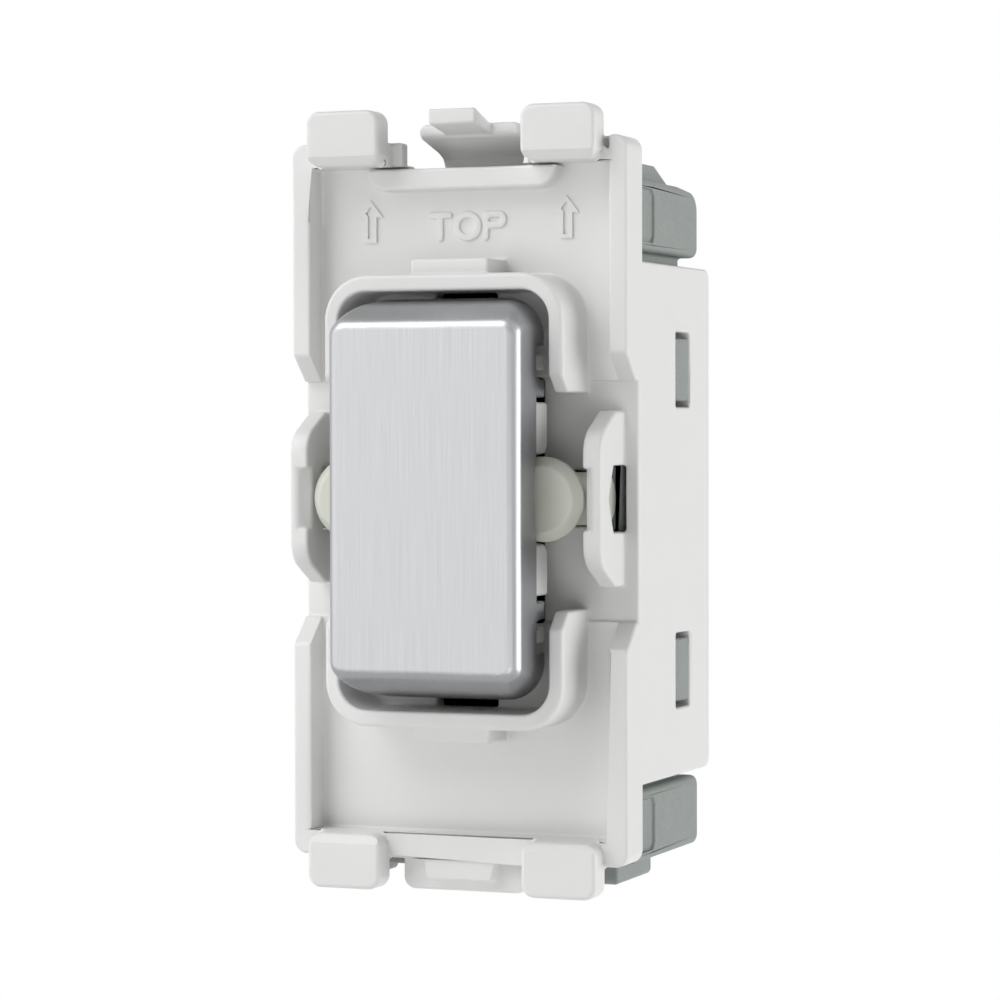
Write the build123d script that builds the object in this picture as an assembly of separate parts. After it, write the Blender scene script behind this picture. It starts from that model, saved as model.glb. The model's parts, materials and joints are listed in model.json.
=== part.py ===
"""Three-position rocker switch module for a grid plate (24 mm wide).

X is to the right, Y runs from the front to the back and Z is up. The origin is the
centre of the flange, in the plane of its front rims. The rocker tilts about X.
"""
import math
import os

from build123d import *

# Driving dimensions, in millimetres and degrees.

# Flange of the front frame
frame_width = 24.0
flange_height = 48.0
flange_corner = 0.9
floor_depth = 2.0
recess_depth = 2.3
flange_back = 3.15
rim_width = 1.3
rim_ramp_start = 9.75
rim_ramp_end = 8.0
rim_ramp_depth = 1.85
bottom_rim_height = 1.65
top_rim_front = 1.0
top_rim_back = 2.1
top_rim_height = 1.6

# Corner tabs that rest on the front of the grid frame
tab_width = 5.25
tab_inset = 1.7
tab_reach = 2.05
tab_overlap = 1.65
tab_front = -1.55
tab_thickness = 1.95
tab_corner = 0.9
tab_bevel_height = 0.65
tab_bevel_depth = 0.45
tab_edge = 0.3

# Notch in the top edge and the strengthening lip under it
notch_width = 8.7
notch_depth = 1.8
notch_corner = 0.5
lip_front = 0.6
lip_height = 1.45
lip_width = 13.6
lip_corner = 1.35
lip_edge = 0.25

# Spring latch finger above the notch
latch_width = 7.2
latch_bar_front = 2.2
latch_bar_rise = 1.25
latch_bar_height = 0.7
latch_nose_front = -0.87
latch_nose_width = 3.4
latch_nose_height = 1.05
latch_arm = 1.0
latch_root_drop = 2.35
latch_arm_back = 7.7

# Hook under the bottom edge
hook_front = 0.2
hook_plate_front = 1.25
hook_nose_width = 5.3
hook_nose_reach = 1.4
hook_plate_width = 8.9
hook_plate_reach = 2.2
hook_nose_taper = 0.35
hook_nose_corner = 0.35
hook_corner = 0.8

# Raised wall around the rocker
ring_wall = 1.0
ring_end_wall = 1.1
ring_side_gap = 0.75
ring_end_gap = 0.65
ring_front = -2.7
ring_corner = 3.0
ring_gap = 14.3
ring_end_slope = 1.2
ring_edge = 0.3
pit_end_depth = 1.75
nub_width = 5.5
nub_height = 1.05
nub_front = -1.35

# Ears that hold the trunnions
ear_thickness = 1.27
ear_gap = 0.18
ear_front = -2.55
ear_height = 11.55
ear_front_height = 8.2
ear_slope_depth = 3.1
ear_corner = 2.0
ear_end_corner = 0.7
window_height = 4.4
window_apex = -0.87
window_shoulder = 0.13
lead_in = 0.75
lead_in_height = 4.0

# Openings in the floor behind the rocker
floor_opening_width = 10.6
floor_opening_height = 16.4
end_slot_width = 4.4
end_slot_height = 1.1

# Side cheeks and their slots
cheek_thickness = 1.35
cheek_back = 17.4
cheek_short = 13.3
cheek_centre = -1.5
cheek_corner = 0.8
slot_front = 10.05
slot_width = 3.05
slot_height = 5.1
upper_slot_centre = 8.8
lower_slot_centre = -11.7

# Raised lettering on the floor
letter_height = 1.95
letter_stroke = 0.42
letter_drop = 5.65
letter_raise = 0.15
letter_gap = 0.1
letter_t_width = 1.75
letter_o_width = 2.0
letter_p_width = 1.7
arrow_inset = 4.95
arrow_drop = 3.75
arrow_length = 2.85
arrow_head_height = 1.15
arrow_head_width = 1.8
arrow_shaft_width = 0.9
arrow_outline = 0.26

# Rocker pivot
pivot_depth = 1.1
pivot_height = 0.17
trunnion_radius = 1.75
trunnion_engagement = 0.47
trunnion_fit = 0.1

# Stainless steel rocker cap
cap_width = 13.45
cap_front = -6.3
cap_front_height = 23.2
cap_back_height = 26.5
cap_back = -1.3
cap_sheet = 0.5
cap_front_corner = 0.95
cap_back_corner = 2.6
cap_front_edge = 0.8
cap_overrun = 1.0
cap_skirt_back = -2.75
cap_end_skirt = 10.0
cap_tab_inner = 6.66
cap_tab_width = 1.18
cap_arc_height = 5.7
cap_arc_rise = 0.6

# White carrier inside the cap
carrier_fit = 0.02
carrier_floor = 1.0
carrier_wall = 0.95
carrier_back = 0.2
carrier_end_back = -0.3
carrier_wing_inner = 2.95
carrier_wing_outer = 6.35
carrier_heel_inner = 8.43
carrier_heel_outer = 9.47
carrier_wing_chamfer = 0.5
carrier_step = 0.45
carrier_wall_back = -0.5
carrier_pad_inset = 0.35
carrier_pad_gap = 0.08
carrier_button_clearance = 0.5
pocket_wall = 0.8

# Rocking dolly with round bosses and trunnions
dolly_width = 9.6
dolly_height = 5.2
dolly_back = 2.6
boss_radius = 2.8
boss_offset = 0.075
boss_front = -2.44
boss_thickness = 1.0
boss_edge = 0.6
stem_radius = 2.6
stem_back = 7.6
bore_radius = 1.8
bore_bottom = -2.6
slide_fit = 0.08

# Plunger and its spring
plunger_tip = 11.0
plunger_tip_radius = 1.5
plunger_shoulder = 4.5
plunger_pin_radius = 0.9
plunger_pin_length = 3.0
spring_wire = 0.44
spring_turns = 8
spring_radius = 1.35

# See-saw contact blade
blade_width = 5.0
blade_length = 19.2
blade_front = 11.05
blade_back = 12.05
blade_seat_angle = 8.5
blade_seat_height = 4.0
blade_pivot_depth = 11.85
groove_angle = 55.0
knife_angle = 30.0
running_gap = 0.03

# Contacts
contact_centre = 7.8
moving_contact_radius = 1.4
moving_contact_thickness = 0.7
fixed_contact_radius = 1.5
fixed_contact_front = 14.02
contact_dome = 4.0

# Brass strips and the fulcrum bracket
strip_thickness = 0.8
strip_front = 14.8
strip_step_front = 12.6
strip_width = 4.2
strip_rise_start = 10.0
contact_pad_height = 4.1
contact_pad_reach = 2.2
bracket_width = 6.7
bracket_height = 3.2
bracket_ear = 0.7
bracket_ear_front = 10.6
knife_thickness = 1.6

# Terminals and their screws
terminal_width = 6.4
terminal_front = 5.4
terminal_height = 5.5
terminal_margin = 1.65
wire_bore_radius = 1.9
wire_bore_depth = 8.6
wire_entry_radius = 2.2
screw_radius = 1.5
screw_thread_fit = 0.05
screw_hole_fit = 0.15
screw_tip = 11.2
screw_back = 15.9
screw_slot = 0.7
screw_slot_depth = 0.8
screw_wall = 1.25

# Grey rear base
cheek_gap = 0.1
block_inset = 0.45
block_short = 1.25
cavity_wall = 1.45
post_depth = 0.75
side_nub_inset = 0.1
foot_inset = 0.45
foot_width = 2.9
terminal_inset = 4.65
base_centre = -1.37
block_inner = 17.97
block_back = 16.3
block_corner = 0.7
block_top_corner = 1.4
block_side_edge = 0.45
block_top_fall = 0.3
block_top_run = 4.0
side_recess = 0.25
side_recess_back = 6.9
side_recess_margin = 0.6
neck_back = 14.9
cavity_height = 22.0
cavity_back = 15.6
partition = 1.2
pocket_fit = 0.1
post_height = 3.8
post_fit = 0.05
end_pocket_depth = 9.0
side_nub_lead = 0.6
side_nub_height = 4.3
side_nub_fit = 0.05
foot_front = 3.45
foot_back = 10.35
foot_reach = 1.5
foot_web_back = 5.8
foot_web_reach = 0.73
foot_edge = 0.35
rib_flat_back = 11.2
rib_back = 14.6
rib_reach = 1.35
latch_clearance_width = 8.4

# Sizes that follow from those above
half_width = frame_width / 2
half_height = flange_height / 2
ring_inner_width = cap_width + 2 * ring_side_gap
ring_inner_height = cap_back_height + 2 * ring_end_gap
ring_width = ring_inner_width + 2 * ring_wall
ring_height = ring_inner_height + 2 * ring_end_wall
boss_centre = cap_width / 2 + boss_offset
ear_inner = boss_centre + boss_radius + ear_gap
trunnion_reach = ear_inner + trunnion_engagement
cheek_inner = half_width - cheek_thickness
cheek_height = flange_height - cheek_short
base_width = 2 * (cheek_inner - cheek_gap)
block_width = 2 * (half_width - block_inset)
block_outer = half_height - block_short
cavity_width = base_width - 2 * cavity_wall
post_outer = cavity_width / 2 + post_depth
side_nub_reach = half_width - side_nub_inset
foot_outer = base_width / 2 - foot_inset
foot_inner = foot_outer - foot_width
terminal_centre = base_width / 2 - terminal_inset
latch_bar_top = half_height + latch_bar_rise
latch_nose_top = half_height + tab_reach
latch_arm_root = half_height - latch_root_drop
arrow_offset = half_width - arrow_inset
arrow_tip = half_height - arrow_drop
arrow_foot = arrow_tip - arrow_length
letter_centre = half_height - letter_drop
tab_back = tab_front + tab_thickness
tab_outer = half_width - tab_inset
tab_inner = tab_outer - tab_width
ear_outer = ear_inner + ear_thickness
block_top = base_centre + block_outer
block_bottom = base_centre - block_outer
upper_screw = block_top - screw_radius - screw_hole_fit - screw_wall
lower_screw = 2 * base_centre - upper_screw
strip_back = strip_front + strip_thickness
strip_step_back = strip_step_front + strip_thickness


def block(x0, x1, y0, y1, z0, z1):
    """A box between the given limits."""
    size = Box(x1 - x0, y1 - y0, z1 - z0)
    return Pos((x0 + x1) / 2, (y0 + y1) / 2, (z0 + z1) / 2) * size


def rod_x(y, z, radius, x0, x1):
    """A round bar along X."""
    return Pos((x0 + x1) / 2, y, z) * Rot(0, 90, 0) * Cylinder(radius, x1 - x0)


def rod_y(x, z, radius, y0, y1):
    """A round bar along Y."""
    return Pos(x, (y0 + y1) / 2, z) * Rot(90, 0, 0) * Cylinder(radius, y1 - y0)


def rod_z(x, y, radius, z0, z1):
    """A round bar along Z."""
    return Pos(x, y, (z0 + z1) / 2) * Cylinder(radius, z1 - z0)


def side_prism(points, x0, x1):
    """A prism along X over an outline given as (y, z) points."""
    outline = Plane.YZ.offset(x0) * Polygon(*points, align=None)
    return extrude(outline, x1 - x0, dir=(1, 0, 0))


def front_prism(sketch, y0, y1):
    """A prism along Y over a sketch drawn as (x, z), seen from the front."""
    return extrude(Plane.XZ.offset(-y1) * sketch, y1 - y0, dir=(0, -1, 0))


def height_prism(points, z0, z1):
    """A prism along Z over an outline given as (x, y) points."""
    outline = Plane.XY.offset(z0) * Polygon(*points, align=None)
    return extrude(outline, z1 - z0, dir=(0, 0, 1))


def other_side(solid):
    """The mirror image across the middle plane X = 0."""
    return mirror(solid, Plane.YZ)


def other_end(solid):
    """The mirror image across the middle plane Z = 0."""
    return mirror(solid, Plane.XY)


def rounded_slab(width, height, corner, y0, y1):
    """A slab with rounded corners, centred on the origin as seen from the front."""
    return front_prism(RectangleRounded(width, height, corner), y0, y1)


def flange():
    """Flat plate with side rims, bottom rim and the shallow rim beside the notch."""
    plate = rounded_slab(frame_width, flange_height, flange_corner, floor_depth, flange_back)
    rim_points = [
        (0, rim_ramp_start),
        (rim_ramp_depth, rim_ramp_end),
        (flange_back, rim_ramp_end),
        (flange_back, half_height),
        (0, half_height),
    ]
    rim = side_prism(rim_points, half_width - rim_width, half_width)
    rims = rim + other_end(rim)
    rims += other_side(rims)
    bottom = block(-half_width, half_width, 0, flange_back,
                   -half_height, -half_height + bottom_rim_height)
    top = block(-half_width, half_width, top_rim_front, flange_back,
                half_height - top_rim_height, half_height)
    envelope = rounded_slab(frame_width, flange_height, flange_corner, 0, flange_back)
    return plate + ((rims + bottom + top) & envelope)


def tab():
    """The upper right corner tab, with a bevel on its edge toward the middle."""
    low = half_height - tab_overlap
    high = half_height + tab_reach
    face = Rectangle(tab_width, high - low)
    solid = front_prism(Pos((tab_inner + tab_outer) / 2, (low + high) / 2) * face,
                        tab_front, tab_back)
    solid = fillet(solid.edges().filter_by(Axis.Y), tab_corner)
    solid = fillet(solid.faces().sort_by(Axis.Y)[0].edges(), tab_edge)
    bevel = side_prism([(tab_front - 1, low - 1), (tab_front + tab_bevel_depth, low - 1),
                        (tab_front + tab_bevel_depth, low), (tab_front, low + tab_bevel_height),
                        (tab_front - 1, low + tab_bevel_height)], 0, half_width)
    foot = block(tab_inner, half_width - rim_width + 0.1, 0, floor_depth + 0.5,
                 low, half_height - flange_corner)
    shoulder = block(tab_inner, tab_outer, tab_back - 0.5, flange_back, low + 0.5, half_height)
    return solid - bevel + foot + shoulder


def lip():
    """Strengthening lip under the notch."""
    top = half_height - notch_depth
    solid = block(-lip_width / 2, lip_width / 2, lip_front, flange_back, top - lip_height, top)
    low_edges = solid.edges().filter_by(Axis.Y).sort_by(Axis.Z)[:2]
    solid = fillet(low_edges, lip_corner)
    front = solid.faces().sort_by(Axis.Y)[0]
    rim = [edge for edge in front.edges() if edge.center().Z < top - 0.01]
    return fillet(rim, lip_edge)


def notch():
    """The space cut from the top edge for the latch finger."""
    low = half_height - notch_depth
    space = block(-notch_width / 2, notch_width / 2, tab_front - 1, flange_back + 1,
                  low, half_height + 1)
    space = fillet(space.edges().filter_by(Axis.Y).sort_by(Axis.Z)[:2], notch_corner)
    relief = block(-tab_inner, tab_inner, top_rim_back, flange_back + 1, low + 0.3,
                   half_height + 1)
    return space + relief


def latch():
    """Spring finger: it leaves the flange backward, turns up and leans forward."""
    half = latch_width / 2
    bar_low = latch_bar_top - latch_bar_height
    arm_front = latch_arm_back - latch_arm
    root_low = latch_arm_root - latch_arm
    arm = side_prism([
        (floor_depth + 0.4, root_low), (latch_arm_back, root_low),
        (latch_arm_back, bar_low - 1.1), (latch_arm_back - 1.2, bar_low - 0.1),
        (latch_bar_front + 1.2, latch_bar_top), (latch_bar_front, latch_bar_top),
        (latch_bar_front, bar_low), (latch_bar_front + 0.4, bar_low - 0.3),
        (arm_front - 1.2, bar_low - 1.0), (arm_front - 0.35, bar_low - 1.35),
        (arm_front, bar_low - 1.9), (arm_front, latch_arm_root),
        (floor_depth + 0.4, latch_arm_root),
    ], -half, half)
    corners = arm.edges().filter_by(Axis.Y)
    arm = chamfer(corners.group_by(Axis.Z)[-1], 0.3) if corners else arm
    nose_low = latch_nose_top - latch_nose_height
    nose = side_prism([
        (latch_nose_front, nose_low), (latch_nose_front, latch_nose_top),
        (latch_bar_front - 0.4, latch_bar_top), (latch_bar_front + 0.5, latch_bar_top),
        (latch_bar_front + 0.5, bar_low), (latch_bar_front - 0.4, bar_low),
    ], -latch_nose_width / 2, latch_nose_width / 2)
    return arm + nose


def hook():
    """Fixed hook under the bottom edge: a narrow nose in front of a wide plate."""
    edge = -half_height
    nose_top = edge + 1
    half = hook_nose_width / 2
    low_half = half - hook_nose_taper
    nose = Polygon((-half, nose_top), (-half, edge), (-low_half, edge - hook_nose_reach),
                   (low_half, edge - hook_nose_reach), (half, edge), (half, nose_top), align=None)
    nose = front_prism(nose, hook_front, hook_plate_front + 0.5)
    nose = fillet(nose.edges().filter_by(Axis.Y).sort_by(Axis.Z)[:2], hook_nose_corner)
    plate = Pos(0, (nose_top + edge - hook_plate_reach) / 2) * Rectangle(
        hook_plate_width, nose_top - edge + hook_plate_reach)
    plate = front_prism(plate, hook_plate_front, flange_back)
    plate = fillet(plate.edges().filter_by(Axis.Y).sort_by(Axis.Z)[:2], hook_corner)
    return nose + plate


def ring():
    """Wall around the rocker, open at mid height, with a nub above and below."""
    wall = rounded_slab(ring_width, ring_height, ring_corner, ring_front, floor_depth + 0.5)
    wall = fillet(wall.faces().sort_by(Axis.Y)[0].edges(), ring_edge)
    gap = side_prism([
        (ring_front - 1, ring_gap / 2 + ring_end_slope + 0.6),
        (ring_front, ring_gap / 2 + ring_end_slope),
        (ring_front + ring_end_slope, ring_gap / 2),
        (flange_back, ring_gap / 2), (flange_back, -ring_gap / 2),
        (ring_front + ring_end_slope, -ring_gap / 2),
        (ring_front, -ring_gap / 2 - ring_end_slope),
        (ring_front - 1, -ring_gap / 2 - ring_end_slope - 0.6),
    ], -half_width, half_width)
    nub = block(-nub_width / 2, nub_width / 2, nub_front, floor_depth + 0.5,
                ring_height / 2 - ring_wall, ring_height / 2 + nub_height)
    nub = chamfer(nub.edges().filter_by(Axis.X).sort_by(Axis.Z)[-1:], 0.2)
    return wall - gap + nub + other_end(nub)


def ring_space():
    """The space inside the wall, down to the recessed floor, shallower at both ends."""
    corner = ring_corner - ring_wall
    space = rounded_slab(ring_inner_width, ring_inner_height, corner, ring_front - 1, recess_depth)
    ledge = block(-half_width, half_width, pit_end_depth, recess_depth + 1,
                  floor_opening_height / 2, half_height)
    return space - ledge - other_end(ledge)


def ear():
    """The right ear, without its window."""
    high = ear_height / 2
    mid = ear_front_height / 2
    outline = [
        (flange_back, -high), (ear_front + ear_slope_depth, -high), (ear_front, -mid),
        (ear_front, mid), (ear_front + ear_slope_depth, high), (flange_back, high),
    ]
    solid = side_prism(outline, ear_inner, ear_outer)
    corners = solid.edges().filter_by(Axis.X).sort_by(Axis.Y)
    solid = fillet(corners[:2], ear_corner)
    ends = [edge for edge in solid.edges().filter_by(Axis.X)
            if abs(edge.center().Y - ear_front - ear_slope_depth) < 0.01]
    solid = fillet(ends, ear_end_corner)
    half = lead_in_height / 2
    bite = height_prism([
        (ear_inner, ear_front), (ear_inner + lead_in, ear_front),
        (ear_inner, ear_front + lead_in),
    ], -half, half)
    return Pos(0, 0, pivot_height) * (solid - bite)


def ear_window():
    """Window in the right ear; its pointed front edge seats the round trunnion."""
    half = window_height / 2
    outline = [
        (window_apex, 0), (window_shoulder, half), (flange_back + 0.5, half),
        (flange_back + 0.5, -half), (window_shoulder, -half),
    ]
    through = side_prism(outline, ear_inner - 1, ear_outer)
    low = trunnion_radius + trunnion_fit
    floor = block(floor_opening_width / 2 - 1, ear_inner, floor_depth - 1,
                  flange_back + 0.5, -low, low)
    return Pos(0, 0, pivot_height) * (through + floor)


def floor_openings():
    """Openings in the floor: for the dolly and two slots at the ends."""
    middle = block(-floor_opening_width / 2, floor_opening_width / 2, floor_depth - 0.5,
                   flange_back + 0.5, -floor_opening_height / 2, floor_opening_height / 2)
    end = block(-end_slot_width / 2, end_slot_width / 2, floor_depth - 0.5, flange_back + 0.5,
                ring_inner_height / 2 - end_slot_height, ring_inner_height / 2)
    return middle + end + other_end(end)


def cheek():
    """The right side cheek, with the two slots that snap over the base."""
    low = cheek_centre - cheek_height / 2
    high = cheek_centre + cheek_height / 2
    wall = block(cheek_inner, half_width, flange_back - 0.5, cheek_back, low, high)
    wall = fillet(wall.edges().filter_by(Axis.X).sort_by(Axis.Y)[-2:], cheek_corner)
    for centre in (upper_slot_centre, lower_slot_centre):
        slot = block(cheek_inner - 1, half_width + 1, slot_front, slot_front + slot_width,
                     centre - slot_height / 2, centre + slot_height / 2)
        wall -= fillet(slot.edges().filter_by(Axis.X), 0.25)
    return wall


def letter_sketches():
    """T, O and P as flat strokes, centred on the middle line."""
    total = letter_t_width + letter_o_width + letter_p_width + 2 * letter_gap
    left = -total / 2
    half = letter_height / 2
    stroke = letter_stroke
    t_middle = left + letter_t_width / 2
    t_bar = Pos(t_middle, half - stroke / 2) * Rectangle(letter_t_width, stroke)
    t_stem = Pos(t_middle, 0) * Rectangle(stroke, letter_height)
    o_middle = left + letter_t_width + letter_gap + letter_o_width / 2
    o_outer = Ellipse(letter_o_width / 2, half)
    o_inner = Ellipse(letter_o_width / 2 - stroke, half - stroke)
    o_shape = Pos(o_middle, 0) * (o_outer - o_inner)
    p_left = total / 2 - letter_p_width
    p_stem = Pos(p_left + stroke / 2, 0) * Rectangle(stroke, letter_height)
    bowl_height = letter_height * 0.58
    bowl = SlotOverall(letter_p_width + bowl_height / 2, bowl_height)
    bowl -= SlotOverall(letter_p_width + bowl_height / 2 - 2 * stroke, bowl_height - 2 * stroke)
    bowl = Pos(total / 2 - (letter_p_width + bowl_height / 2) / 2, half - bowl_height / 2) * bowl
    keep = Pos(p_left + letter_p_width / 2, 0) * Rectangle(letter_p_width, letter_height)
    return [t_bar + t_stem, o_shape, p_stem + (bowl & keep)]


def arrow_sketch():
    """An upward arrow drawn as a thin outline, centred on its own middle line."""
    head = arrow_tip - arrow_head_height
    shaft = arrow_shaft_width / 2
    wide = arrow_head_width / 2
    outline = Polygon((-shaft, arrow_foot), (shaft, arrow_foot), (shaft, head), (wide, head),
                      (0, arrow_tip), (-wide, head), (-shaft, head), align=None)
    return outline - offset(outline, -arrow_outline)


def lettering():
    """Raised TOP and two arrows on the floor above the rocker."""
    low = floor_depth - letter_raise
    marks = [front_prism(Pos(0, letter_centre) * letter, low, floor_depth + 0.3)
             for letter in letter_sketches()]
    for side in (-1, 1):
        marks.append(front_prism(Pos(side * arrow_offset, 0) * arrow_sketch(),
                                 low, floor_depth + 0.3))
    return marks


def front_frame():
    """White front moulding: flange, wall, ears, cheeks, latch finger and hook."""
    body = flange()
    tabs = tab()
    tabs += other_side(tabs)
    tabs += other_end(tabs)
    body += tabs
    body += lip()
    body -= notch()
    body += ring()
    recess = block(-half_width, half_width, floor_depth - 0.5, recess_depth,
                   -rim_ramp_end, rim_ramp_end)
    recess -= rounded_slab(ring_width, ring_height, ring_corner, floor_depth - 1, flange_back)
    gap_floor = block(-half_width, half_width, floor_depth - 0.5, recess_depth,
                      -ring_gap / 2, ring_gap / 2)
    body += rounded_slab(ring_width - ring_wall, ring_height - ring_end_wall,
                         ring_corner - ring_wall / 2, pit_end_depth, flange_back)
    body -= recess
    body -= gap_floor
    body -= ring_space()
    ears = ear()
    ears += other_side(ears)
    body += ears
    body -= floor_openings()
    windows = ear_window()
    body -= windows
    body -= other_side(windows)
    cheeks = cheek()
    cheeks += other_side(cheeks)
    cheek_slot = ear_window()
    body += cheeks - cheek_slot - other_side(cheek_slot)
    body += latch()
    body += hook()
    for mark in lettering():
        body += mark
    return body


def end_block(fall, outer_corner):
    """One wide end of the base, drawn as the upper one about Z = 0."""
    low = block_inner
    high = block_outer
    half = block_width / 2
    solid = side_prism([
        (flange_back, low), (block_back, low), (block_back, high - fall),
        (block_back - block_top_run, high), (flange_back, high),
    ], -half, half)
    rear = solid.edges().filter_by(Axis.X).sort_by(Axis.Y)[-2:].sort_by(Axis.Z)
    solid = fillet(rear[1:], outer_corner)
    rear = solid.edges().filter_by(Axis.X).sort_by(Axis.Z)
    lower_rear = [edge for edge in rear if abs(edge.center().Z - low) < 0.01
                  and edge.center().Y > flange_back + 1]
    solid = fillet(lower_rear, block_corner)
    for side in solid.faces().sort_by(Axis.X)[0], solid.faces().sort_by(Axis.X)[-1]:
        outline = [edge for edge in side.edges() if edge.center().Y > flange_back + 0.01]
        solid = fillet(outline, block_side_edge)
    recess = block(half - side_recess, half + 1, flange_back - 1, side_recess_back,
                   low + side_recess_margin, high - side_recess_margin)
    recess = fillet(recess.edges().filter_by(Axis.X).sort_by(Axis.Y)[-2:], block_corner)
    return solid - recess - other_side(recess)


def end_ribs():
    """Locating ribs on the top end and feet under the bottom end."""
    top = base_centre + block_outer
    rib = side_prism([
        (foot_front, top - 0.5), (rib_back - 0.5, top - 0.5), (rib_back, top),
        (rib_flat_back, top + rib_reach), (foot_front, top + rib_reach),
    ], foot_inner, foot_outer)
    bottom = base_centre - block_outer
    foot = block(foot_inner, foot_outer, foot_front, foot_back, bottom - foot_reach, bottom + 0.5)
    foot = fillet(foot.faces().sort_by(Axis.Z)[0].edges(), foot_edge)
    web = block(-foot_inner - 0.5, foot_inner + 0.5, foot_front, foot_web_back,
                bottom - foot_web_reach, bottom + 0.5)
    ends = rib + foot
    return ends + other_side(ends) + web


def side_nub(centre):
    """Snap nub on the right side of the base, filling a slot of the cheek."""
    front = slot_front + side_nub_fit
    back = slot_front + slot_width - side_nub_fit
    inner = base_width / 2 - 0.5
    low = centre - side_nub_height / 2
    return height_prism([
        (inner, front), (side_nub_reach - side_nub_lead, front),
        (side_nub_reach, front + 0.9), (side_nub_reach, back), (inner, back),
    ], low, low + side_nub_height)


def terminal_pocket(side, screw_height, outward):
    """Pocket for one terminal, open to the front, with its wire entry and screw hole."""
    middle = side * terminal_centre
    half = terminal_width / 2 + pocket_fit
    outer = screw_height + outward * (terminal_margin + pocket_fit)
    inner = outward * (cavity_height / 2 + partition)
    low, high = sorted((outer, inner))
    pocket = block(middle - half, middle + half, flange_back - 1, strip_step_front, low, high)
    trench_half = strip_width / 2 + pocket_fit
    trench_end = screw_height - outward * (screw_radius + 0.7 - pocket_fit)
    low, high = sorted((trench_end, outward * (cavity_height / 2 - 0.5)))
    trench = block(middle - trench_half, middle + trench_half, flange_back - 1,
                   strip_step_back, low, high)
    low, high = sorted((screw_height, outward * (block_outer + 3)))
    entry = rod_z(middle, wire_bore_depth, wire_entry_radius, low, high)
    hole = rod_y(middle, screw_height, screw_radius + screw_hole_fit,
                 strip_step_front - 1, block_back + 1)
    return pocket + trench + entry + hole


def base():
    """Grey rear moulding that holds the contacts and terminals."""
    half = base_width / 2
    cheek_low = cheek_centre - cheek_height / 2
    cheek_high = cheek_centre + cheek_height / 2
    middle = block(-half, half, flange_back, cheek_back, cheek_low, cheek_high)
    middle = fillet(middle.edges().filter_by(Axis.X).sort_by(Axis.Y)[-2:], cheek_corner)
    core = block(-half, half, flange_back, neck_back, block_bottom + 1, block_top - 1)
    top_end = Pos(0, 0, base_centre) * end_block(block_top_fall, block_top_corner)
    bottom_end = Pos(0, 0, base_centre) * other_end(end_block(0, block_corner))
    solid = middle + core + top_end + bottom_end + end_ribs()
    cavity = block(-cavity_width / 2, cavity_width / 2, flange_back - 1, cavity_back,
                   -cavity_height / 2, cavity_height / 2)
    solid -= cavity
    solid -= terminal_pocket(-1, upper_screw, 1)
    solid -= terminal_pocket(1, upper_screw, 1)
    solid -= terminal_pocket(-1, lower_screw, -1)
    spare_half = terminal_width / 2 + pocket_fit
    solid -= block(terminal_centre - spare_half, terminal_centre + spare_half, flange_back - 1,
                   strip_step_back, lower_screw - terminal_margin - pocket_fit,
                   -cavity_height / 2 - partition)
    solid -= block(-latch_clearance_width / 2, latch_clearance_width / 2, flange_back - 1,
                   latch_arm_back + 0.5, latch_arm_root - latch_arm - 0.3, block_top + 1)
    end_pocket = block(-end_slot_width / 2 - 0.5, end_slot_width / 2 + 0.5, flange_back - 1,
                       flange_back + end_pocket_depth, cavity_height / 2 + partition,
                       ring_inner_height / 2 + 0.4)
    solid -= end_pocket
    solid -= other_end(end_pocket)
    post = block(cavity_width / 2, post_outer, pivot_depth + trunnion_radius + post_fit,
                 flange_back + 1, pivot_height - post_height / 2, pivot_height + post_height / 2)
    nubs = side_nub(upper_slot_centre) + side_nub(lower_slot_centre)
    extras = post + nubs
    return solid + extras + other_side(extras)


def cap_block(inset):
    """The rocker's outer form, pulled in all round by the given inset."""
    slope = (cap_back_height - cap_front_height) / (cap_back - cap_front)
    front = cap_front + inset
    back = cap_back + (cap_overrun if inset else 0)
    width = cap_width - 2 * inset
    front_height = cap_front_height + (slope - 2) * inset
    back_height = cap_back_height - 2 * inset + slope * (back - cap_back)
    low = RectangleRounded(width, front_height, cap_front_corner - inset)
    high = RectangleRounded(width, back_height, cap_back_corner - inset)
    solid = loft([Plane.XZ.offset(-front) * low, Plane.XZ.offset(-back) * high], ruled=True)
    front_edges = solid.faces().sort_by(Axis.Y)[0].edges()
    return fillet(front_edges, cap_front_edge - inset)


def rocker_cap():
    """Drawn stainless steel cap with cut-away skirts and two small tabs each side."""
    shell = cap_block(0) - cap_block(cap_sheet)
    side = block(0, half_width, cap_skirt_back, cap_back + 1, -cap_end_skirt, cap_end_skirt)
    for sign in (-1, 1):
        low, high = sorted((sign * cap_tab_inner, sign * (cap_tab_inner + cap_tab_width)))
        side -= block(0, half_width, cap_skirt_back - 1, cap_back + 2, low, high)
    chord = cap_arc_height / 2
    radius = (chord ** 2 + cap_arc_rise ** 2) / (2 * cap_arc_rise)
    arc = rod_x(cap_skirt_back - cap_arc_rise + radius, 0, radius, 0, half_width)
    arc &= block(0, half_width, cap_skirt_back - cap_arc_rise - 1, cap_skirt_back + 0.2,
                 -chord, chord)
    cut = side + arc
    return shell - cut - other_side(cut)


def carrier_pad(back, low, high):
    """One pad of the carrier's right side, standing out below the cap's skirt."""
    half = cap_width / 2 - cap_sheet - carrier_fit
    root = block(half - carrier_wall, half - carrier_step, cap_skirt_back - 0.5, back, low, high)
    pad = block(half - carrier_wall, cap_width / 2 - carrier_pad_inset,
                cap_skirt_back + carrier_pad_gap, back, low, high)
    return root + pad


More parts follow.
